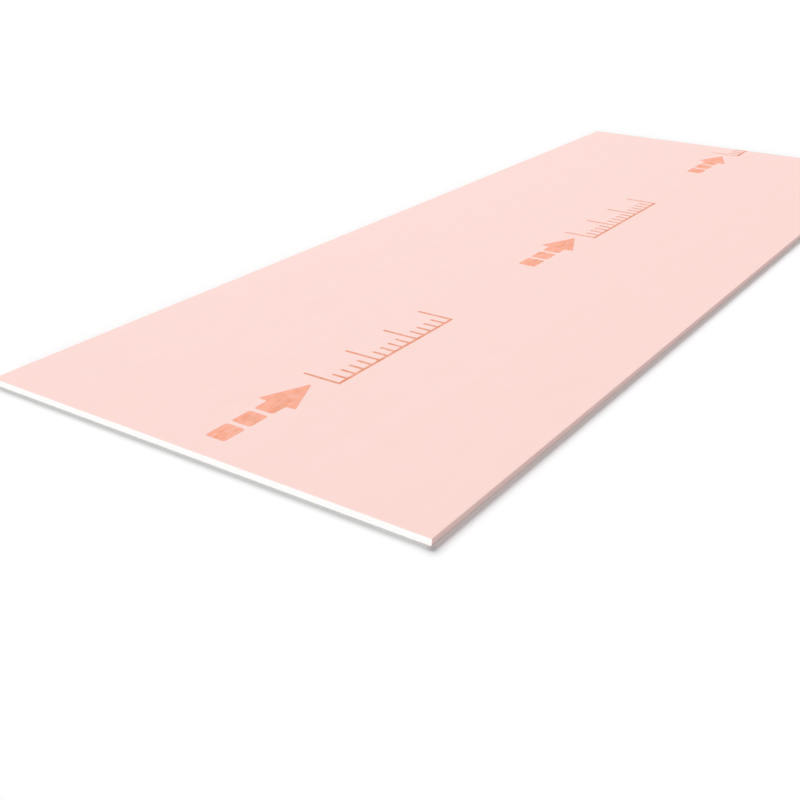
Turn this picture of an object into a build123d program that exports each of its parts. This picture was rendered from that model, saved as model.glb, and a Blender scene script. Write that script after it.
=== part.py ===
"""Square-edge gypsum board, lying on its back sheet with its face up.

A plaster core is wrapped by a face paper that folds round both long edges and on to the back. The back
paper is laid over those two folds. Both ends are cut square, so the core is bare there.

Lengths are in millimetres. +X runs along the board, +Y across it and +Z from the back to the face.
The origin is on the floor, below the middle of the board.
"""

import os
from math import cos, radians, sin, tan

from build123d import *

# Board, over the papers
length = 2400.0
width = 900.0
thickness = 12.5

# Papers
face_paper_thickness = 0.4
back_paper_thickness = 0.4

# Long edge: it leans in towards the back, and the paper turns each of its arrises on an outside radius
edge_lean = radians(7)
face_arris_radius = 1.2
back_arris_radius = 1.6

# Folds, from the board's full width inwards: the strip that stays in view, then the strip under the back paper
fold_margin = 14.0
fold_lap = 16.0

half_width = width / 2
back_paper_edge = half_width - fold_margin
fold_edge = back_paper_edge - fold_lap
fold_seat = back_paper_thickness

# Sharp corners of the edge, placed so that the rounded face arris comes out at the board's full width
face_corner = half_width + face_arris_radius * ((1 + sin(edge_lean)) / cos(edge_lean) - 1)
back_corner = face_corner - (thickness - fold_seat) * tan(edge_lean)

os.makedirs("parts", exist_ok=True)

# Outline of the core with its face paper on, seen from the end of the board
with BuildSketch(Plane.YZ) as wrapped_outline:
    with BuildLine():
        Polyline(
            (-back_corner, fold_seat),
            (back_corner, fold_seat),
            (face_corner, thickness),
            (-face_corner, thickness),
            close=True,
        )
    make_face()
    fillet(wrapped_outline.vertices().group_by(Axis.Y)[-1], face_arris_radius)
    fillet(wrapped_outline.vertices().group_by(Axis.Y)[0], back_arris_radius)

# Core: all that the face paper encloses, and let down on to the back paper between the two folds
with BuildSketch(Plane.YZ) as core_section:
    offset(wrapped_outline.sketch_local, amount=-face_paper_thickness)
    with Locations((0, fold_seat)):
        Rectangle(2 * fold_edge, face_paper_thickness, align=(Align.CENTER, Align.MIN))

with BuildPart() as gypsum_core:
    extrude(core_section.sketch, amount=length / 2, both=True)

# Face paper: one sheet over the face, down both long edges and in under the board as far as the folds reach
with BuildSketch(Plane.YZ) as face_paper_section:
    add(wrapped_outline.sketch_local)
    add(core_section.sketch_local, mode=Mode.SUBTRACT)

with BuildPart() as face_paper:
    extrude(face_paper_section.sketch, amount=length / 2, both=True)

# Back paper: a flat sheet that laps over both folds and stops short of the long edges
with BuildPart() as back_paper:
    with BuildSketch():
        Rectangle(length, 2 * back_paper_edge)
    extrude(amount=back_paper_thickness)

gypsum_core.part.label = "gypsum_core"
export_step(gypsum_core.part, "parts/gypsum_core.step")

face_paper.part.label = "face_paper"
export_step(face_paper.part, "parts/face_paper.step")

back_paper.part.label = "back_paper"
export_step(back_paper.part, "parts/back_paper.step")
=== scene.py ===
# %% [markdown]
# A square-edge gypsum board
#
# The object is one sheet of wall lining board. Pink paper covers its face and folds round both long edges,
# grey paper covers its back, and white foamed plaster shows at the two cut ends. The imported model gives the
# board's real size and place. Here each of its three pieces gets the surface that a real board has, and the
# orange guide marks are printed on the face.

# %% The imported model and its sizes
import math
import random

import bmesh
import bpy
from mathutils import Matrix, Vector


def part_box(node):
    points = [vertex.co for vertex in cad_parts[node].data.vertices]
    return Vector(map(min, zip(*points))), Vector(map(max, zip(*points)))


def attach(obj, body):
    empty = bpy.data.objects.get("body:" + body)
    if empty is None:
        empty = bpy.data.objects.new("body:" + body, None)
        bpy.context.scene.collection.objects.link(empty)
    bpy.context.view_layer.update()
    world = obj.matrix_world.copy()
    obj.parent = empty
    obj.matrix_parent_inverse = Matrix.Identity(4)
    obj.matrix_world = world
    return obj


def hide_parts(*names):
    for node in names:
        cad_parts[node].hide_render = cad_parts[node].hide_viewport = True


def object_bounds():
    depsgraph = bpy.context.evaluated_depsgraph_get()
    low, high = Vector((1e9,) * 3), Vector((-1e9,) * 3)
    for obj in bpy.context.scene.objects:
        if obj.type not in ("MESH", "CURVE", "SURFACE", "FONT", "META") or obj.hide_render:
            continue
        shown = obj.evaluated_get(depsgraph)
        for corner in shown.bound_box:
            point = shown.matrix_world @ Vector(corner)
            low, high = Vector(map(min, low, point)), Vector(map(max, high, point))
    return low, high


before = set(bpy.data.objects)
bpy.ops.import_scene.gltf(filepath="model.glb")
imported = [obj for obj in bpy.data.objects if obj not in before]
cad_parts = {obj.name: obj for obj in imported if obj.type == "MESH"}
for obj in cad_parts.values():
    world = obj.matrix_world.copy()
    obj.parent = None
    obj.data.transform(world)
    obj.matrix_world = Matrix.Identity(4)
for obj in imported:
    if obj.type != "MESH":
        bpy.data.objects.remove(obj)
cad_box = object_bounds()
board_low, board_high = cad_box
core_low, core_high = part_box("gypsum_core")
back_low, back_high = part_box("back_paper")
board_size = board_high - board_low
print("board", [round(side * 1000, 2) for side in board_size], "mm")

# %% [markdown]
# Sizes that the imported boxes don't tell
#
# A box gives a piece's reach but not its corners. The lean of the long edges, the radius of their arrises
# and the width of the lap on the back are therefore written here, as the same real sizes that the model was
# drawn with. The thickness of the face paper follows from two boxes. A hair is the margin within which two
# places count as the same.

# %% The long edge's shape
mm = 0.001
hair = mm / 100
right_angle = math.pi / 2
edge_lean = math.radians(7)
face_arris_radius = 1.2 * mm
back_arris_radius = 1.6 * mm
fold_lap = 16 * mm
paper = board_high.z - core_high.z
fold_underside = back_high.z
fold_top = fold_underside + paper
fold_edge = back_high.y - fold_lap
print("paper", round(paper / mm, 2), "mm, the fold ends", round(fold_edge / mm, 1), "mm from the middle")

# %% [markdown]
# The camera
#
# The reference picture looks down on one corner of the board, with the long edge running away to the right.
# Three things fix such a view. Where the two edge directions vanish gives the heading, the dip and the
# focal length. Where the near corner stands in the picture gives the ray that the camera is on. How large
# the board looks gives its height on that ray. So nothing has to be moved by eye.

# %% The camera on the ray through the near corner
picture_side = 800
focal_pixels = 1113
corner_pixel = Vector((432.2, 539.1))
heading = math.radians(34.4)
dip = math.radians(25.63)
height_above_face = 0.795

ahead = Vector((math.cos(dip) * math.cos(heading), math.cos(dip) * math.sin(heading), -math.sin(dip)))
right = Vector((math.sin(heading), -math.cos(heading), 0))
up = right.cross(ahead)
across, below = (corner_pixel - Vector((picture_side, picture_side)) / 2) / focal_pixels
corner_ray = ahead + right * across - up * below
near_corner = Vector((board_low.x, board_low.y, board_high.z))

bpy.ops.object.select_all(action="DESELECT")
bpy.ops.object.camera_add(location=near_corner + corner_ray * height_above_face / corner_ray.z)
camera = bpy.context.object
camera.rotation_euler = ahead.to_track_quat("-Z", "Y").to_euler()
camera.data.lens = camera.data.sensor_width * focal_pixels / picture_side
bpy.context.scene.camera = camera
print("camera at", [round(value, 3) for value in camera.location], "lens", round(camera.data.lens, 2))

# %% [markdown]
# Light
#
# A pale board on a white ground needs soft and even light. Three broad suns and a plain sky give it. The
# main sun stands behind the board, so the shadow falls towards the viewer and the long edge on the right is
# in shade. A sun that is low over the floor shines on the cut end and makes it as bright as the face, while
# it adds little to the floor, where the shadow stays dark. A weak one from the right opens up the shade a
# little. Area lamps would be as soft, but their light falls off along a board of this length.
#
# A sun's energy is pi times the level that a white surface facing it gets, and its distance makes no
# difference. Together the suns and the sky come to about one on the face, and there a colour shows as it is
# written.

# %% Three soft suns
sky_level = 0.10
lamp_distance = 4


def add_sun(name, bearing, height, spread, level):
    """Adds a sun by where it stands, in degrees, and returns how much light it gives the face."""
    bearing = math.radians(bearing)
    height = math.radians(height)
    flat = math.cos(height)
    to_light = Vector((flat * math.cos(bearing), flat * math.sin(bearing), math.sin(height)))
    bpy.ops.object.light_add(type="SUN", location=to_light * lamp_distance)
    sun = bpy.context.object
    sun.name = name
    sun.rotation_euler = to_light.to_track_quat("Z", "Y").to_euler()
    sun.data.energy = math.pi * level
    sun.data.angle = math.radians(spread)
    return level * to_light.z


on_face = sky_level
on_face += add_sun("sun_behind", bearing=46, height=35, spread=36, level=1.26)
on_face += add_sun("sun_low", bearing=206, height=9, spread=16, level=1.06)
on_face += add_sun("sun_right", bearing=-75, height=40, spread=60, level=0.03)
print("light level on the face", round(on_face, 3))

# %% [markdown]
# Nodes with few words
#
# Each finish below is a small network of nodes. Adding one takes three steps: make the node, set its
# choices, and fill its inputs with a value or with another node's output. One helper does all three, so
# that a finish reads as a list of what feeds what.

# %% Helpers that add, calculate and mix
def node(tree, kind, inputs=None, **choices):
    """Adds a shader node, sets its choices and fills its inputs with values or with other nodes' sockets."""
    new = tree.nodes.new("ShaderNode" + kind)
    for name, choice in choices.items():
        setattr(new, name, choice)
    for name, value in (inputs or {}).items():
        if isinstance(value, bpy.types.NodeSocket):
            tree.links.new(value, new.inputs[name])
        else:
            new.inputs[name].default_value = value
    return new


def mix_colours(tree, share, first, second):
    """Mixes two colours. In the Mix node, 6 and 7 are the colour inputs and 2 is the colour output."""
    return node(tree, "Mix", {0: share, 6: first, 7: second}, data_type="RGBA").outputs[2]


def calculate(tree, operation, first, second):
    """Adds, multiplies or otherwise joins two values."""
    return node(tree, "Math", {0: first, 1: second}, operation=operation).outputs[0]


# %% [markdown]
# Patterns from noise
#
# Nothing on the board is drawn from a picture. All patterns come from noise, which needs no unwrapping and
# has no seams. Noise lies mostly near a half, so the range around a half is spread out before it is used: a
# wide range for a soft pattern, and a narrower one for a clear pattern.

# %% Helpers for noise
soft_pattern = (0.3, 0.7)
clear_pattern = (0.35, 0.65)


def noise(tree, place, size, detail=3.0):
    """Cloudy noise with patches of about that size in metres, from 0 to 1 and mostly near a half."""
    return node(tree, "TexNoise", {"Vector": place, "Scale": 1 / size, "Detail": detail}).outputs[0]


def stretch(tree, place, times):
    """Draws a pattern out along the board's length."""
    return node(tree, "Mapping", {"Vector": place, "Scale": (1 / times, 1, 1)}).outputs[0]


def spread_out(tree, value, low, high, start=0.0, end=1.0):
    """Turns the values from low to high into the values from start to end, and cuts off the rest."""
    limits = {"Value": value, "From Min": low, "From Max": high, "To Min": start, "To Max": end}
    return node(tree, "MapRange", limits).outputs[0]


# %% [markdown]
# The sky
#
# The ground in the picture is plain white, and the white must not come from more light on the board. Light
# Path tells a ray from the camera from a ray that only carries light. So the sky is white to the camera,
# and to rays that a gloss sends on, but the light that it gives the board is a low and plain level.

# %% A sky that is white to the camera
def seen_ray(tree):
    """A value of 1 for rays that see the surface, straight or by way of gloss or glass, and else 0."""
    path = node(tree, "LightPath")
    mirrored = calculate(tree, "MAXIMUM", path.outputs["Is Glossy Ray"], path.outputs["Is Transmission Ray"])
    return calculate(tree, "MAXIMUM", path.outputs["Is Camera Ray"], mirrored)


white = (1, 1, 1, 1)
sky = bpy.data.worlds.new("plain_sky")
sky.use_nodes = True
background = sky.node_tree.nodes["Background"]
background.inputs["Color"].default_value = white
sky_strength = spread_out(sky.node_tree, seen_ray(sky.node_tree), 0, 1, start=sky_level)
sky.node_tree.links.new(sky_strength, background.inputs["Strength"])
bpy.context.scene.world = sky
bpy.context.scene.view_settings.view_transform = "Standard"
print("sky level", sky_level)

# %% [markdown]
# The floor
#
# The floor is a large sheet, a little below the board so that the two don't share a plane. It is lit by the
# suns, so it keeps the board's shadow. A floor that is white in every way would also throw much light at
# the long edge that is in shade. So it is white where it is seen, and a mid grey to rays that only carry
# light.

# %% A white floor that gives back little light
floor_side = 40
floor_drop = 0.05 * mm
floor_bounce = (0.30, 0.297, 0.294, 1)
bpy.ops.object.select_all(action="DESELECT")
bpy.ops.mesh.primitive_plane_add(size=floor_side, location=(0, 0, board_low.z - floor_drop))
floor = bpy.context.object
floor.name = "floor"
floor_paint = bpy.data.materials.new("white_floor")
floor_paint.use_nodes = True
floor_tree = floor_paint.node_tree
floor_colour = mix_colours(floor_tree, seen_ray(floor_tree), floor_bounce, white)
floor_shader = floor_tree.nodes["Principled BSDF"]
floor_tree.links.new(floor_colour, floor_shader.inputs["Base Color"])
floor_shader.inputs["Roughness"].default_value = 1
floor_shader.inputs["Specular IOR Level"].default_value = 0
floor.data.materials.append(floor_paint)
print("floor", floor_side, "m square")

# %% [markdown]
# A node group
#
# What several finishes share is built once, as a node group, and then placed in each of them like a single
# node. The group has named sockets on the way in and on the way out. A copy of the nodes in every finish
# would work too, but then a change would have to be made in each.

# %% A helper for an empty node group
def new_group(name, inputs, outputs):
    """Makes an empty node group with named sockets and returns it with its input and output nodes."""
    group = bpy.data.node_groups.new(name, "ShaderNodeTree")
    for way, sockets in (("INPUT", inputs), ("OUTPUT", outputs)):
        for label, kind in sockets.items():
            group.interface.new_socket(label, in_out=way, socket_type="NodeSocket" + kind)
    return group, group.nodes.new("NodeGroupInput"), group.nodes.new("NodeGroupOutput")


# %% [markdown]
# Board paper
#
# Both papers of a board come off the same kind of machine. Fibres lie mostly along the web, so nearly every
# mark in the sheet is longer than it is wide. There are faint clouds where the pulp is thicker, long
# streaks from the rollers, and a fine tooth. Noise gives all of these, drawn out along the board for all
# but the tooth. Three finishes need it, so it is a group.

# %% Four patterns of the board paper
fibre_size = 0.9 * mm
tooth_size = 0.35 * mm
cloud_size = 35 * mm
streak_size = 18 * mm

board_paper, taken, given = new_group(
    "board_paper",
    {"Place": "Vector", "Paper": "Color", "Pulp": "Color", "Contrast": "Float"},
    {"Color": "Color", "Roughness": "Float", "Height": "Float"},
)
place = taken.outputs["Place"]
fibres = noise(board_paper, stretch(board_paper, place, times=5), fibre_size, detail=4)
fibres = spread_out(board_paper, fibres, *clear_pattern)
tooth = noise(board_paper, place, tooth_size, detail=2)
tooth = spread_out(board_paper, tooth, *soft_pattern)
clouds = noise(board_paper, stretch(board_paper, place, times=2), cloud_size)
clouds = spread_out(board_paper, clouds, *soft_pattern)
streaks = noise(board_paper, stretch(board_paper, place, times=60), streak_size, detail=4)
streaks = spread_out(board_paper, streaks, *clear_pattern)
print("patterns for fibres, tooth, clouds and streaks")

# %% [markdown]
# What the paper gives
#
# The group takes a place, two tones and a contrast. Fibres, clouds and streaks add up to how much of the
# second tone is mixed in. The fibres are also a little rougher than what lies between them, and together
# with the tooth they make the relief.

# %% The paper's colour, roughness and height
fibre_share = 0.5
cloud_share = 0.28
streak_share = 0.22
tooth_height = 0.6
paper_roughness = (0.72, 0.84)

threads = calculate(board_paper, "MULTIPLY", fibres, fibre_share)
patches = calculate(board_paper, "MULTIPLY", clouds, cloud_share)
bands = calculate(board_paper, "MULTIPLY", streaks, streak_share)
pulp = calculate(board_paper, "ADD", threads, calculate(board_paper, "ADD", patches, bands))
pulp = calculate(board_paper, "MULTIPLY", pulp, taken.outputs["Contrast"])
toned = mix_colours(board_paper, pulp, taken.outputs["Paper"], taken.outputs["Pulp"])
matt = spread_out(board_paper, fibres, 0, 1, *paper_roughness)
relief = calculate(board_paper, "ADD", fibres, calculate(board_paper, "MULTIPLY", tooth, tooth_height))
for label, value in (("Color", toned), ("Roughness", matt), ("Height", relief)):
    board_paper.links.new(value, given.inputs[label])
print("group", board_paper.name, "with", len(board_paper.nodes), "nodes")

# %% [markdown]
# The finishes
#
# A finish is one shader with its own plain settings, fed by patterns that follow the board. The places come
# from Object coordinates, which are the board's own metres, so a pattern has its real size everywhere. The
# relief goes through a Bump node, whose distance is the real height of the fibres. Real dents in the mesh
# would need millions of faces for a depth that only shows in how the light lies on it.

# %% Helpers for a finish
def new_finish(name, specular):
    """Makes a material and returns it with its node tree, its shader and the place on the board."""
    material = bpy.data.materials.new(name)
    material.use_nodes = True
    tree = material.node_tree
    shader = tree.nodes["Principled BSDF"]
    shader.inputs["Specular IOR Level"].default_value = specular
    return material, tree, shader, node(tree, "TexCoord").outputs["Object"]


def finish_shader(tree, shader, colour, roughness, height, depth):
    """Feeds a shader with its colour, roughness and relief, whose depth is in metres."""
    tree.links.new(colour, shader.inputs["Base Color"])
    tree.links.new(roughness, shader.inputs["Roughness"])
    bump = node(tree, "Bump", {"Strength": 1.0, "Distance": depth, "Height": height})
    tree.links.new(bump.outputs["Normal"], shader.inputs["Normal"])


def use_paper(tree, place, paper_tone, pulp_tone, contrast):
    """Places the board paper group with its own tones."""
    paper_node = tree.nodes.new("ShaderNodeGroup")
    paper_node.node_tree = board_paper
    tree.links.new(place, paper_node.inputs["Place"])
    paper_node.inputs["Paper"].default_value = paper_tone
    paper_node.inputs["Pulp"].default_value = pulp_tone
    paper_node.inputs["Contrast"].default_value = contrast
    return paper_node.outputs


# %% [markdown]
# Pink paper and grey paper
#
# The face paper is dyed pink to tell this board from others, and rolled smooth to be painted on, so it
# shows little but an even tone. The back paper is left as it comes: recycled pulp with bits of old print in
# it. The dark bits are the highest spots of a noise, and the pale ones are the lowest spots of another.

# %% Pink face paper and grey back paper
pink = (0.957, 0.699, 0.658, 1)
pink_pulp = (0.895, 0.605, 0.562, 1)
pink_contrast = 0.3
face_fibre_height = 0.015 * mm
face_finish, tree, shader, place = new_finish("pink_face_paper_finish", specular=0.05)
sheet = use_paper(tree, place, pink, pink_pulp, pink_contrast)
finish_shader(tree, shader, sheet["Color"], sheet["Roughness"], sheet["Height"], face_fibre_height)

grey = (0.42, 0.40, 0.37, 1)
grey_pulp = (0.27, 0.25, 0.225, 1)
grey_contrast = 0.8
dark_fleck = (0.10, 0.10, 0.12, 1)
pale_fleck = (0.66, 0.64, 0.60, 1)
dark_fleck_size = 1.6 * mm
pale_fleck_size = 1.1 * mm
highest_spots = (0.68, 0.72)
lowest_spots = (0.31, 0.27)
back_fibre_height = 0.03 * mm
back_finish, tree, shader, place = new_finish("grey_back_paper_finish", specular=0.2)
sheet = use_paper(tree, place, grey, grey_pulp, grey_contrast)
dark = noise(tree, stretch(tree, place, times=3), dark_fleck_size, detail=1)
dark = spread_out(tree, dark, *highest_spots)
pale = noise(tree, stretch(tree, place, times=4), pale_fleck_size, detail=1)
pale = spread_out(tree, pale, *lowest_spots)
flecked = mix_colours(tree, dark, mix_colours(tree, pale, sheet["Color"], pale_fleck), dark_fleck)
finish_shader(tree, shader, flecked, sheet["Roughness"], sheet["Height"], back_fibre_height)
print("finishes", face_finish.name, "and", back_finish.name)

# %% [markdown]
# Orange ink
#
# The guide marks are stamped by a roller while the paper runs past. The stamp squeezes the ink out to its
# rim, so a mark is paler inside and darker along its outline. Here and there the ink has pooled, and in
# small spots the paper shows through. An attribute of the piece tells how near the rim a point is, and
# noise breaks up the cover. Wet ink follows the fibres, so they show in its relief as they do beside it.

# %% Ink that gathers at its rim
orange = (0.920, 0.355, 0.215, 1)
orange_rim = (0.690, 0.200, 0.070, 1)
cover_size = 7 * mm
thinnest_cover = 0.72
bare_spot_size = 0.9 * mm
bare_spots = (0.33, 0.42)
cover_in_spots = 0.35
pool_size = 24 * mm
pool_shape = (0.45, 0.75)
darkest_pool = 0.55
ink_finish, tree, shader, place = new_finish("orange_ink_finish", specular=0.1)
sheet = use_paper(tree, place, pink, pink_pulp, pink_contrast)
rim = node(tree, "Attribute", attribute_name="rim").outputs["Fac"]
uneven = noise(tree, stretch(tree, place, times=4), cover_size, detail=4)
uneven = spread_out(tree, uneven, *soft_pattern, start=thinnest_cover)
spotted = spread_out(tree, noise(tree, place, bare_spot_size), *bare_spots, start=cover_in_spots)
cover = calculate(tree, "MULTIPLY", uneven, spotted)
pools = spread_out(tree, noise(tree, place, pool_size), *pool_shape, end=darkest_pool)
gathered = calculate(tree, "ADD", calculate(tree, "MULTIPLY", rim, uneven), pools)
ink_tone = mix_colours(tree, gathered, orange, orange_rim)
inked = mix_colours(tree, cover, sheet["Color"], ink_tone)
finish_shader(tree, shader, inked, sheet["Roughness"], sheet["Height"], face_fibre_height)
print("finish", ink_finish.name)

# %% [markdown]
# The smallest pores
#
# The core is plaster with air beaten into it, and the saw opens bubbles of every size. The large ones are
# modelled below. The rest are far smaller than a millimetre, and the cells of a Voronoi pattern stand for
# them. A cell has a pit of its own width in the middle, lower in the relief and a little darker with painted
# shade. In about a third of the cells it is too narrow to be seen, so that the pits aren't spread evenly.

# %% A helper for pores that are too small to model
def small_pores(tree, place, cell, widest):
    """Round pits in uneven cells of about a size: 1 in the middle of a pit and 0 outside."""
    unseen_share = 0.3
    narrowest = 0.03
    flat_middle = 0.2
    cells = node(tree, "TexVoronoi", {"Vector": place, "Scale": 1 / cell, "Randomness": 1.0})
    chance = node(tree, "SeparateColor", {"Color": cells.outputs["Color"]}).outputs[0]
    width = spread_out(tree, chance, unseen_share, 1, narrowest, widest)
    reach = calculate(tree, "DIVIDE", cells.outputs["Distance"], width)
    return spread_out(tree, reach, 1, flat_middle)


# %% [markdown]
# Foamed plaster
#
# Cut plaster is white and quite matt. Less light comes into the large bubbles, so a painted shade darkens it
# with its depth behind the cut. Past two millimetres the painted shade stops, because the hidden sides lie in
# no bubble. The pits get painted shade as well, and a faint mottle keeps the white from being even. A fine
# grain makes the cut rough between its pits.

# %% White plaster with its smallest pores
plaster_white = (0.938, 0.933, 0.920, 1)
# The grey that the painted shade of bubbles and pits, and the mottle, mix towards.
pore_shade = (0.60, 0.59, 0.565, 1)
shade_starts = 0.3 * mm
shade_is_full = 0.7 * mm
shade_fades = 1 * mm
shade_is_gone = 2 * mm
pit_painted_shade = 0.75
pit_depth = 0.1 * mm
grain_size = 0.16 * mm
grain_height = 0.3
mottle_size = 5 * mm
mottle_darkness = 0.08
plaster_roughness = (0.86, 0.95)
core_finish, tree, shader, place = new_finish("gypsum_plaster_finish", specular=0.15)

cut_plane = board_high.x
along = node(tree, "SeparateXYZ", {"Vector": place}).outputs["X"]
from_middle = calculate(tree, "ABSOLUTE", along, 0)
# Painted shade in the large bubbles: darker with the depth behind the cut, and none past two millimetres.
painted_hollow_shade = spread_out(tree, from_middle, cut_plane - shade_starts, cut_plane - shade_is_full)
near_end = spread_out(tree, from_middle, cut_plane - shade_is_gone, cut_plane - shade_fades)
painted_hollow_shade = calculate(tree, "MULTIPLY", painted_hollow_shade, near_end)

fine_pits = small_pores(tree, place, cell=0.36 * mm, widest=0.5)
coarse_pits = small_pores(tree, place, cell=0.85 * mm, widest=0.42)
pits = calculate(tree, "MAXIMUM", fine_pits, coarse_pits)
grain = spread_out(tree, noise(tree, place, grain_size), *soft_pattern)
mottle = spread_out(tree, noise(tree, place, mottle_size, detail=4), *soft_pattern, end=mottle_darkness)
# Painted shade: the darker of the pits' painted shade and the bubbles' painted shade. The mottle is a real
# tone, added after.
shade = calculate(tree, "MAXIMUM", calculate(tree, "MULTIPLY", pits, pit_painted_shade), painted_hollow_shade)
shade = calculate(tree, "ADD", shade, mottle)
plaster_colour = mix_colours(tree, shade, plaster_white, pore_shade)
rough = spread_out(tree, grain, 0, 1, *plaster_roughness)
surface = calculate(tree, "SUBTRACT", calculate(tree, "MULTIPLY", grain, grain_height), pits)
finish_shader(tree, shader, plaster_colour, rough, surface, pit_depth)
print("finish", core_finish.name)

# %% [markdown]
# Working by selection
#
# Every piece is shaped as by hand: something is selected, then an operator acts on it. A mouse picks by
# place, and so does this helper. It goes through the points, edges or faces in edit mode and selects those
# that pass a test. It starts from nothing selected, because an operator acts on all that is selected.

# %% A helper that selects by place
def middle(edge):
    """The place halfway along an edge."""
    return (edge.verts[0].co + edge.verts[1].co) / 2


def select(kind, test):
    """Selects the verts, edges or faces that pass the test, and returns how many there are."""
    mesh = bpy.context.edit_object.data
    shape = bmesh.from_edit_mesh(mesh)
    bpy.ops.mesh.select_mode(type={"verts": "VERT", "edges": "EDGE", "faces": "FACE"}[kind])
    bpy.ops.mesh.select_all(action="DESELECT")
    found = [part for part in getattr(shape, kind) if test(part)]
    for part in found:
        part.select_set(True)
    shape.select_flush_mode()
    bmesh.update_edit_mesh(mesh)
    return len(found)


# %% [markdown]
# Shaping
#
# A few operators do nearly all the shaping. They get short names here, so that a piece reads as a list of
# steps. A modifier is applied as soon as it is added, so that the next step can work on its result.

# %% Helpers that shape a piece
def push(step):
    """Moves what is selected."""
    bpy.ops.transform.translate(value=step)


def extrude_edges(step):
    """Extrudes the selected edges by a step."""
    bpy.ops.mesh.extrude_edges_move(TRANSFORM_OT_translate={"value": step})


def extrude_faces(step):
    """Extrudes the selected faces by a step."""
    bpy.ops.mesh.extrude_region_move(TRANSFORM_OT_translate={"value": step})


def bevel_points(offset, segments, profile=0.5):
    """Opens each selected point out to an arc. A profile of a half makes the arc part of a circle."""
    bpy.ops.mesh.bevel(offset=offset, segments=segments, profile=profile, affect="VERTICES")


def cut_across(x):
    """Cuts the open piece across at a place along the board, without taking anything away."""
    bpy.ops.mesh.select_all(action="SELECT")
    bpy.ops.mesh.bisect(plane_co=(x, 0, 0), plane_no=(1, 0, 0))


def face_outwards():
    """Merges what is double and turns every face of the open piece outwards."""
    bpy.ops.mesh.select_all(action="SELECT")
    bpy.ops.mesh.remove_doubles(threshold=hair / 10)
    bpy.ops.mesh.normals_make_consistent(inside=False)


def apply_modifier(piece, kind, **choices):
    """Adds a modifier to the piece in object mode, sets its choices and applies it."""
    modifier = piece.modifiers.new(kind.lower(), kind)
    for name, choice in choices.items():
        setattr(modifier, name, choice)
    bpy.ops.object.modifier_apply(modifier=modifier.name)


# %% [markdown]
# From a primitive to a finished piece
#
# A piece starts from a primitive, whose place and size go into its mesh at once, so that a length in edit
# mode is a real one. At the end it is shaded smooth up to an angle, which hides the facets of its arcs and
# keeps its real edges sharp. Then it gets its finish and rides with the board.

# %% Helpers that start and finish a piece
def pick_up(piece):
    """Selects one piece alone and makes it the active one."""
    bpy.ops.object.select_all(action="DESELECT")
    piece.select_set(True)
    bpy.context.view_layer.objects.active = piece


def start_piece(name, scale):
    """Names the primitive that was just added, puts its place and size into its mesh and opens it."""
    piece = bpy.context.object
    piece.name = piece.data.name = name
    piece.scale = scale
    bpy.ops.object.transform_apply(location=True, rotation=True, scale=True)
    bpy.ops.object.mode_set(mode="EDIT")
    return piece


def finish_piece(piece, finish, smooth_angle):
    """Leaves edit mode, shades the piece, gives it its finish and lets it ride with the board."""
    bpy.ops.object.mode_set(mode="OBJECT")
    bpy.ops.object.shade_smooth_by_angle(angle=smooth_angle)
    piece.data.materials.clear()
    piece.data.materials.append(finish)
    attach(piece, "root")
    piece.data.calc_loop_triangles()
    print(piece.name, len(piece.data.loop_triangles), "triangles")


# %% [markdown]
# The plaster core's section
#
# The core is poured between the papers and sawn off at both ends. Only the ends show, so nearly all of its
# mesh belongs there. A cube would give one flat face at each end, and subdividing it would cut up the
# hidden sides as well. So a fine grid is stood up at one end, brought to the core's section while it is
# still flat, and then drawn out along the whole board. Both ends have small cells to work on, and the sides
# are strips.
#
# The grid has sharp corners at first. Because the sides lean, such a corner lies a little outside the box
# of the rounded core, by a length that follows from the radius and the lean.

# %% A fine grid in the shape of the section
core_rows = 8
core_columns = 620
core_face_radius = face_arris_radius - paper
core_back_radius = back_arris_radius - paper
core_corner = core_high.y + core_face_radius * ((1 + math.sin(edge_lean)) / math.cos(edge_lean) - 1)
core_height = core_high.z - fold_top

bpy.ops.object.select_all(action="DESELECT")
bpy.ops.mesh.primitive_grid_add(
    x_subdivisions=core_rows,
    y_subdivisions=core_columns,
    size=1,
    location=(core_low.x, 0, fold_top + core_height / 2),
    rotation=(0, -right_angle, 0),
)
core = start_piece("plaster_core", (core_height, 2 * core_corner, 1))
row_height = core_height / core_rows
cell = 2 * core_corner / core_columns
for row in range(core_rows):
    height = fold_top + row * row_height
    half = core_corner - (core_high.z - height) * math.tan(edge_lean)
    select("verts", lambda point: abs(point.co.z - height) < hair)
    bpy.ops.transform.resize(value=(1, half / core_corner, 1), center_override=(0, 0, 0))
print("cells of", round(cell / mm, 2), "by", round(row_height / mm, 2), "mm")

# %% [markdown]
# The seat between the folds, and round corners
#
# The face paper's folds lie under the core's rims, and between them the core goes down to the back paper.
# So the nearest columns are slid to the folds' edges, and the bottom edges between them are extruded down
# by one paper. A corner of a flat sheet is rounded by bevelling its one point. The bevel starts at the
# length of the tangent, which follows from the radius and the angle between the two sides. A Bevel modifier
# that goes by angle, on the drawn-out core, would round the sawn arrises as well, and those are sharp.

# %% The seat and the four arrises
corner_steps = 4
under_half = core_corner - core_height * math.tan(edge_lean)
under_cell = 2 * under_half / core_columns
nearest_column = round(fold_edge / under_cell) * under_cell


def on_underside(place):
    """Whether a place lies in the lowest row of the grid."""
    return place.z < fold_top + hair


select("verts", lambda point: on_underside(point.co) and abs(abs(point.co.y) - nearest_column) < hair)
bpy.ops.transform.resize(value=(1, fold_edge / nearest_column, 1), center_override=(0, 0, 0))
select("edges", lambda edge: on_underside(middle(edge)) and abs(middle(edge).y) < fold_edge)
extrude_edges((0, 0, -paper))


def round_corners(half, height, angle, radius):
    """Rounds the section's two corners at a half width and a height. The angle is the one inside."""
    corner = Vector((half, height))
    select("verts", lambda point: (Vector((abs(point.co.y), point.co.z)) - corner).length < hair)
    bevel_points(radius / math.tan(angle / 2), corner_steps)


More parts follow.
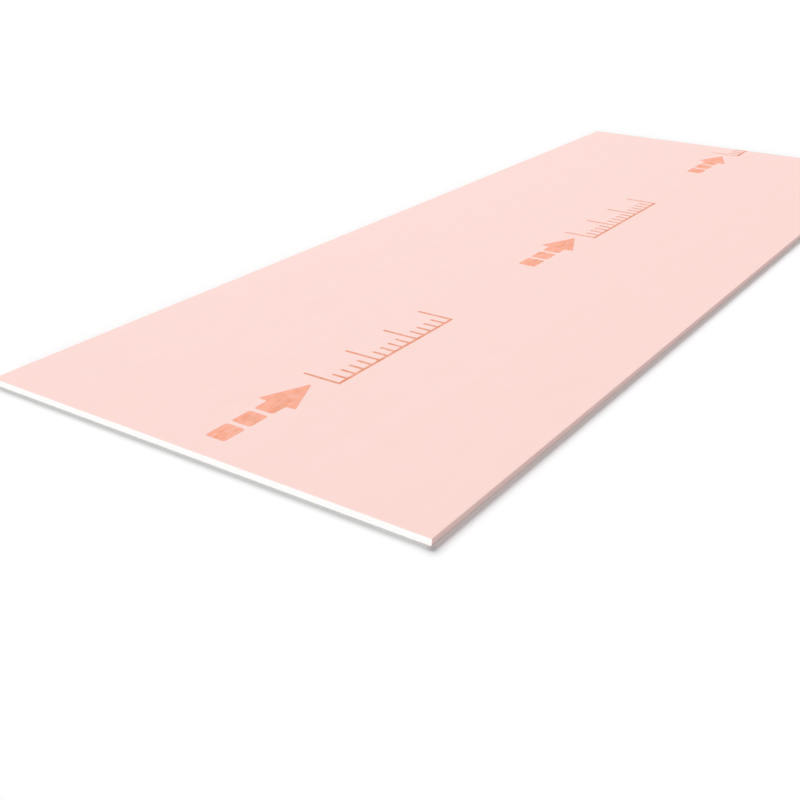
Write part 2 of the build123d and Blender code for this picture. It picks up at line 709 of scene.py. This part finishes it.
round_corners(core_corner, core_high.z, right_angle - edge_lean, core_face_radius)
round_corners(under_half, fold_top, right_angle + edge_lean, core_back_radius)
bpy.ops.mesh.select_all(action="SELECT")
extrude_faces((board_size.x, 0, 0))
face_outwards()
print("core drawn out to", round(board_size.x / mm), "mm")

# %% [markdown]
# Sawn ends
#
# A saw leaves foamed plaster rough, and crumbs are missing along the arrises, where the paper then stands a
# little proud. Bump alone would leave those outlines straight, so the points themselves are moved. Each
# crumb is a small group of points that is pushed in. Its reach and its depth are drawn between two sizes in
# millimetres. An end is noted as its place along the board and the sign of the way inwards.

# %% Helpers for the points of an end and for a crumb
crumb_reach = (0.7, 2.1)
crumb_depth = (0.08, 0.32)
ends = ((board_low.x, 1), (board_high.x, -1))


def inside_end(end_x):
    """Gives a test for the points within one cut end that no long side shares."""
    def test(point):
        near = abs(point.co.x - end_x) < mm
        return near and all(abs(face.normal.x) > 0.5 for face in point.link_faces)
    return test


def crumble(end_x, inward, chance):
    """Pushes in the points round a random place on an arris of an end, twice as often on the upper one."""
    arris = chance.choice((core_high.z, core_high.z, core_low.z))
    spot = Vector((end_x, chance.uniform(-core_corner, core_corner), arris))
    reach = chance.uniform(*crumb_reach) * mm
    depth = chance.uniform(*crumb_depth) * mm
    select("verts", lambda point: abs(point.co.x - end_x) < mm and (point.co - spot).length < reach)
    push((inward * depth, 0, 0))


# %% [markdown]
# Rough plaster
#
# No point of a sawn end is quite in the plane. The ones inside each end are thrown about at random, pressed
# nearly flat again, and set back by as much as they can stand out. So all of it goes inwards, because the
# board was measured over its highest points.

# %% Rough ends with crumbled arrises
scatter = 0.34 * mm
flatness = 0.2
set_back = 0.07 * mm
crumbs = 110
rough_seed = 11
crumb_seed = 21
for end_x, inward in ends:
    select("verts", inside_end(end_x))
    bpy.ops.transform.vertex_random(offset=scatter, seed=rough_seed + inward)
    bpy.ops.transform.resize(value=(flatness, 1, 1), center_override=(end_x, 0, 0))
    push((inward * set_back, 0, 0))
    chance = random.Random(crumb_seed + inward)
    for _ in range(crumbs):
        crumble(end_x, inward, chance)
print(crumbs, "crumbs gone from each end")

# %% [markdown]
# Where the bubbles are
#
# The bubbles that show as round pits are made from the grid's own points. Cutting out a ball for each with
# a Boolean modifier would be slow and leave slivers. So points are picked at random, never two side by
# side, and only where the cells round a point leave room for its bubble. The table gives the radii in
# millimetres and how often each one is drawn: many small bubbles and few large ones, as in any foam.

# %% Points for bubbles in five sizes
bubbles_on_an_end = 1150
bubble_shares = {0.68: 6, 0.54: 14, 0.42: 24, 0.32: 30, 0.24: 26}
share_of_room = 0.9


def spot_of(point):
    """A point's place in thousandths of a millimetre, to find it again."""
    return tuple(round(value / mm * 1000) for value in point.co)


def pick_bubbles(end_x, chance):
    """Picks points of an end, no two of them neighbours, and returns their places for each radius."""
    points = list(filter(inside_end(end_x), bmesh.from_edit_mesh(core.data).verts))
    chance.shuffle(points)
    spots = {radius: set() for radius in bubble_shares}
    blocked = set()
    picked = 0
    for point in points:
        radius = chance.choices(list(bubble_shares), list(bubble_shares.values()))[0]
        room = min(edge.calc_length() for edge in point.link_edges)
        if point in blocked or radius * mm > room * share_of_room or picked == bubbles_on_an_end:
            continue
        picked += 1
        blocked.update(edge.other_vert(point) for edge in point.link_edges)
        spots[radius].add(spot_of(point))
    return spots


# %% [markdown]
# Open bubbles
#
# A bevel of points opens a ring round each picked point. With a profile near zero the ring is round, and
# not a star. The face inside stays selected, so two insets can sink it to a bowl. Their steps inwards and
# down are shares of the radius. The rings of large bubbles have more sides, because those are seen more
# clearly.

# %% Bowls at the picked points
bubble_seed = 31
large_bubble = 0.4
large_ring_steps = 3
small_ring_steps = 2
round_ring = 0.08
bowl_steps = ((0.22, 0.75), (0.38, 0.4))


def open_bubbles(spots, radius):
    """Opens a bowl of a radius in millimetres at each of the spots."""
    select("verts", lambda point: spot_of(point) in spots)
    bevel_points(radius * mm, large_ring_steps if radius > large_bubble else small_ring_steps, round_ring)
    for step_in, step_down in bowl_steps:
        bpy.ops.mesh.inset(thickness=radius * mm * step_in, depth=-radius * mm * step_down)


for end_x, inward in ends:
    picked_spots = pick_bubbles(end_x, random.Random(bubble_seed + inward))
    for radius, spots in picked_spots.items():
        open_bubbles(spots, radius)
    print(sum(len(spots) for spots in picked_spots.values()), "bubbles in the end at", round(end_x, 2), "m")
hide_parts("gypsum_core")
finish_piece(core, core_finish, smooth_angle=math.radians(35))

# %% [markdown]
# Where the face paper turns
#
# Seen along the board, the face paper turns round two arrises, and its leaning side is the straight line
# that touches both arcs. The board's box and the first radius give the centre of the upper arc. The height
# of the fold gives how high the lower arc's centre is, and the line that touches both arcs gives its place
# across.

# %% The centres of the two arcs
face_turn = Vector((0, board_high.y - face_arris_radius, board_high.z - face_arris_radius))
downwards = Vector((0, -math.sin(edge_lean), -math.cos(edge_lean)))
back_turn_z = fold_underside + back_arris_radius
rise = back_turn_z - face_turn.z
tighter = face_arris_radius - back_arris_radius
back_turn_y = face_turn.y + (tighter + rise * math.sin(edge_lean)) / math.cos(edge_lean)
back_turn = Vector((0, back_turn_y, back_turn_z))
side_length = (back_turn - face_turn).dot(downwards)
fold_length = back_turn.y - fold_edge
print("leaning side", round(side_length / mm, 2), "mm, fold", round(fold_length / mm, 2), "mm")

# %% [markdown]
# The face paper
#
# One sheet of pink paper is laid under the pour, creased along both sides and folded up round the core, and
# it ends on the back under the rim of the grey paper. A bevelled box would look the same from above, but it
# has no fold, and no edge of paper at the cut ends. So the sheet is folded as the real one is. Half of the
# flat face is a grid. Its outer edge is spun round the arris, extruded down the leaning side, spun again,
# and extruded inwards as the fold.

# %% Half of the sheet, from the middle of the face to the end of the fold
paper_column = 1.5 * mm
arc_steps = 8

bpy.ops.object.select_all(action="DESELECT")
bpy.ops.mesh.primitive_grid_add(
    x_subdivisions=1,
    y_subdivisions=round(face_turn.y / paper_column),
    size=1,
    location=(0, face_turn.y / 2, board_high.z),
)
face_sheet = start_piece("face_paper_sheet", (board_size.x, face_turn.y, 1))


def turn_edge(centre, angle):
    """Spins the selected edges about a line along the board."""
    bpy.ops.mesh.spin(steps=arc_steps, angle=angle, center=centre, axis=(1, 0, 0))


def run_on(direction, length):
    """Extrudes the selected edges by a length, in columns about as wide as the face's."""
    columns = round(length / paper_column)
    for _ in range(columns):
        extrude_edges(direction * length / columns)
    return columns


select("edges", lambda edge: middle(edge).y > face_turn.y - hair)
turn_edge(face_turn, right_angle + edge_lean)
side_columns = run_on(downwards, side_length)
turn_edge(back_turn, right_angle - edge_lean)
fold_columns = run_on(Vector((0, -1, 0)), fold_length)
face_outwards()
print("columns down the side", side_columns, "and in the fold", fold_columns)

# %% [markdown]
# A cut paper end
#
# Where the saw goes through it, paper frays: its cut end isn't a clean line but wanders by a tenth of a
# millimetre or so. Two bisect cuts close to the ends keep this in a narrow strip. There each point of the
# end is drawn back by a random amount, which adds up from a few pushes of a random half of the points.

# %% A helper for frayed ends
fray_strip = 1.5 * mm
fray_of_sheet = (0.08 * mm, 0.05 * mm, 0.03 * mm)
fray_of_sides = (0.03 * mm, 0.015 * mm)


def fray_ends(pushes, seed):
    """Draws the points of both cut ends back by small random amounts."""
    chance = random.Random(seed)
    for end_x, inward in ends:
        for depth in pushes:
            select("verts", lambda point: abs(point.co.x - end_x) < fray_strip / 2 and chance.random() < 0.5)
            push((inward * depth, 0, 0))


# %% [markdown]
# The whole sheet
#
# Mirror makes the other half of the face paper, and Solidify gives it its thickness, inwards from the outer
# side, which is the one that was measured. Most of the fraying comes before Solidify, so that both sides of
# the sheet follow one line. A little comes after, so that they don't follow it exactly.

# %% Mirror, thickness and frayed ends
for end_x, inward in ends:
    cut_across(end_x + inward * fray_strip)
bpy.ops.object.mode_set(mode="OBJECT")
apply_modifier(face_sheet, "MIRROR", use_axis=(False, True, False), merge_threshold=hair)
bpy.ops.object.mode_set(mode="EDIT")
face_outwards()
fray_ends(fray_of_sheet, seed=41)
bpy.ops.object.mode_set(mode="OBJECT")
apply_modifier(face_sheet, "SOLIDIFY", thickness=paper, offset=-1, use_even_offset=True)
bpy.ops.object.mode_set(mode="EDIT")
fray_ends(fray_of_sides, seed=42)
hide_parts("face_paper")
finish_piece(face_sheet, face_finish, smooth_angle=math.radians(30))

# %% [markdown]
# The back paper
#
# The grey sheet is flat and laps over both folds. It is a grid with columns as fine as those of the face,
# so that its cut ends can fray in the same way, and Solidify makes it a real sheet. The grid is its
# underside, so the thickness is added upwards.

# %% A flat grey sheet
bpy.ops.object.select_all(action="DESELECT")
bpy.ops.mesh.primitive_grid_add(
    x_subdivisions=1,
    y_subdivisions=round(2 * back_high.y / paper_column),
    size=1,
    location=(0, 0, back_low.z),
)
back_sheet = start_piece("back_paper_sheet", (board_size.x, 2 * back_high.y, 1))
for end_x, inward in ends:
    cut_across(end_x + inward * fray_strip)
fray_ends(fray_of_sheet, seed=43)
bpy.ops.object.mode_set(mode="OBJECT")
apply_modifier(back_sheet, "SOLIDIFY", thickness=back_high.z - back_low.z, offset=1)
bpy.ops.object.mode_set(mode="EDIT")
fray_ends(fray_of_sides, seed=44)
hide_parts("back_paper")
finish_piece(back_sheet, back_finish, smooth_angle=math.radians(30))

# %% [markdown]
# Guide marks
#
# Boards carry printed marks that tell the fitter which way the sheet runs and where to measure from. This
# board has a block arrow and a scale, in orange. They could be a mask in the face's finish, but that blurs
# as soon as the finish is turned into a picture. Ink has almost no thickness, but a thin film with its own
# outline keeps the edges sharp at any distance. The film goes a little way into the paper, so that no gap
# shows under it.
#
# The rim comes from an inset, which must stay narrower than the tightest curve of each corner, or the inner
# outline would cross itself. It stands a little higher, and an attribute marks its points for the finish.

# %% An outline turned into a film of ink
ink_height = 0.05 * mm
ink_film = 0.07 * mm
rim_rise = 0.02 * mm
rim_width = 1 * mm
corner_facets = 3


def ink_outline(corner, gathered_inside):
    """Gives flat pieces round corners, a rim and a thickness. A share of the ink gathers inside as well."""
    face_outwards()
    bpy.ops.mesh.dissolve_limited(angle_limit=math.radians(1))
    bpy.ops.mesh.select_all(action="SELECT")
    bevel_points(corner, corner_facets)
    bpy.ops.mesh.select_all(action="SELECT")
    bpy.ops.mesh.inset(thickness=rim_width)
    shape = bmesh.from_edit_mesh(bpy.context.edit_object.data)
    rim_layer = shape.verts.layers.float.new("rim")
    for point in shape.verts:
        point[rim_layer] = 1 if point.is_boundary else gathered_inside
    select("verts", lambda point: point.is_boundary)
    push((0, 0, rim_rise))
    bpy.ops.mesh.select_all(action="SELECT")
    extrude_faces((0, 0, -ink_film))
    face_outwards()
    bpy.ops.object.mode_set(mode="OBJECT")


# %% [markdown]
# The arrow's head
#
# The arrow shows which way the sheet runs. It starts as the rectangle round its head, in four strips. The
# tip's points are drawn together, and the two points beside the middle of the back are set to the shaft's
# width.

# %% A block arrow's head
mark_height = 80 * mm
mark_middle = -18 * mm
first_mark_x = board_low.x + 50 * mm
ink_top = board_high.z + ink_height
arrow_length = 240 * mm
head_length = 92 * mm
shaft_width = 40 * mm
tip_x = first_mark_x + arrow_length

bpy.ops.object.select_all(action="DESELECT")
bpy.ops.mesh.primitive_grid_add(
    x_subdivisions=1,
    y_subdivisions=4,
    size=1,
    location=(tip_x - head_length / 2, mark_middle, ink_top),
)
arrow = start_piece("guide_mark_1", (head_length, mark_height, 1))
select("verts", lambda point: point.co.x > tip_x - hair)
bpy.ops.transform.resize(value=(1, 0, 1), center_override=(tip_x, mark_middle, 0))
select("verts", lambda point: abs(abs(point.co.y - mark_middle) - mark_height / 4) < hair)
bpy.ops.transform.resize(value=(1, shaft_width / (mark_height / 2), 1), center_override=(0, mark_middle, 0))
print("head", round(head_length / mm), "by", round(mark_height / mm), "mm")

# %% [markdown]
# The arrow's shaft
#
# The middle of the head's back is extruded to the shaft. It is broken twice, as on a stencil, so two gaps
# are cut out of it. All corners are round, because a soft stamp prints no sharp ones.

# %% A shaft with two gaps
shaft_gap = 11 * mm
gap_places = (49 * mm, 104 * mm)
arrow_corner = 5 * mm
head_back_x = tip_x - head_length


def in_shaft(edge):
    """Whether an edge of the head's back belongs to the shaft."""
    place = middle(edge)
    return place.x < head_back_x + hair and abs(place.y - mark_middle) < shaft_width / 2


select("edges", in_shaft)
extrude_edges((head_length - arrow_length, 0, 0))
for gap_start in gap_places:
    gap_x = first_mark_x + gap_start
    cut_across(gap_x)
    cut_across(gap_x + shaft_gap)
    select("faces", lambda face: gap_x < face.calc_center_median().x < gap_x + shaft_gap)
    bpy.ops.mesh.delete(type="FACE")
ink_outline(arrow_corner, gathered_inside=0)
print("arrow", round(arrow_length / mm), "mm long, shaft", round(shaft_width / mm), "mm wide")

# %% [markdown]
# The scale's line
#
# The scale is a ruled line with strokes on it. It starts as a strip of square cells, as wide as the pen,
# and every fourth cell is the foot of a stroke.

# %% A line of square cells
pen = 6 * mm
strokes = 16
cells_between = 4
space_after_arrow = 26 * mm
scale_x = tip_x + space_after_arrow
scale_cells = (strokes - 1) * cells_between + 1
scale_foot = mark_middle - mark_height / 2

bpy.ops.object.select_all(action="DESELECT")
bpy.ops.mesh.primitive_grid_add(
    x_subdivisions=scale_cells,
    y_subdivisions=1,
    size=1,
    location=(scale_x + scale_cells * pen / 2, scale_foot + pen / 2, ink_top),
)
start_piece("scale", (scale_cells * pen, pen, 1))
print("line", round(scale_cells * pen / mm), "mm long, in", scale_cells, "cells")

# %% [markdown]
# The scale's strokes
#
# A stroke is one cell's upper edge, extruded. All strokes are drawn short, and every fifth one is drawn on
# to be long. Line and strokes are so narrow that the ink gathers in all their width, so they are nearly as
# dark inside as at the rim. The arrow and the scale are then joined to one mark.

# %% Short and long strokes
long_every = 5
short_stroke = 30 * mm
stroke_corner = 1.6 * mm


def draw_strokes(start_y, every, length):
    """Extrudes the strokes upwards from a line, all of them or every so many."""
    def stands_here(edge):
        place = middle(edge)
        cell_number = round((place.x - scale_x) / pen - 0.5)
        return place.y > start_y - hair and cell_number % (cells_between * every) == 0
    found = select("edges", stands_here)
    extrude_edges((0, length, 0))
    return found


line_top = scale_foot + pen
drawn = draw_strokes(line_top, 1, short_stroke)
long_drawn = draw_strokes(line_top + short_stroke, long_every, mark_height - pen - short_stroke)
ink_outline(stroke_corner, gathered_inside=0.7)
arrow.select_set(True)
bpy.context.view_layer.objects.active = arrow
bpy.ops.object.join()
print(drawn, "strokes,", long_drawn, "of them long")

# %% [markdown]
# The same mark along the board
#
# The roller prints the mark once a turn, so it comes again at an even pitch, whatever the board's length.
# An Array modifier would repeat it too, but all in one piece. Here each copy is a piece with its own mesh.
# The last one runs past the end of the board, and there the saw has cut it off, so it is bisected at the
# end with its outer part cleared and its cut filled.

# %% Copies at the roller's pitch, the last one sawn off
roller_pitch = 1.0
marks = [arrow]
while first_mark_x + len(marks) * roller_pitch < board_high.x:
    pick_up(marks[-1])
    bpy.ops.object.duplicate(linked=False)
    copy = bpy.context.object
    copy.name = copy.data.name = "guide_mark_" + str(len(marks) + 1)
    bpy.ops.object.mode_set(mode="EDIT")
    bpy.ops.mesh.select_all(action="SELECT")
    push((roller_pitch, 0, 0))
    bpy.ops.object.mode_set(mode="OBJECT")
    marks.append(copy)

bpy.ops.object.mode_set(mode="EDIT")
bpy.ops.mesh.select_all(action="SELECT")
bpy.ops.mesh.bisect(plane_co=(board_high.x, 0, 0), plane_no=(1, 0, 0), use_fill=True, clear_outer=True)
bpy.ops.object.mode_set(mode="OBJECT")
for mark in marks:
    pick_up(mark)
    bpy.ops.object.mode_set(mode="EDIT")
    face_outwards()
    finish_piece(mark, ink_finish, smooth_angle=math.radians(30))
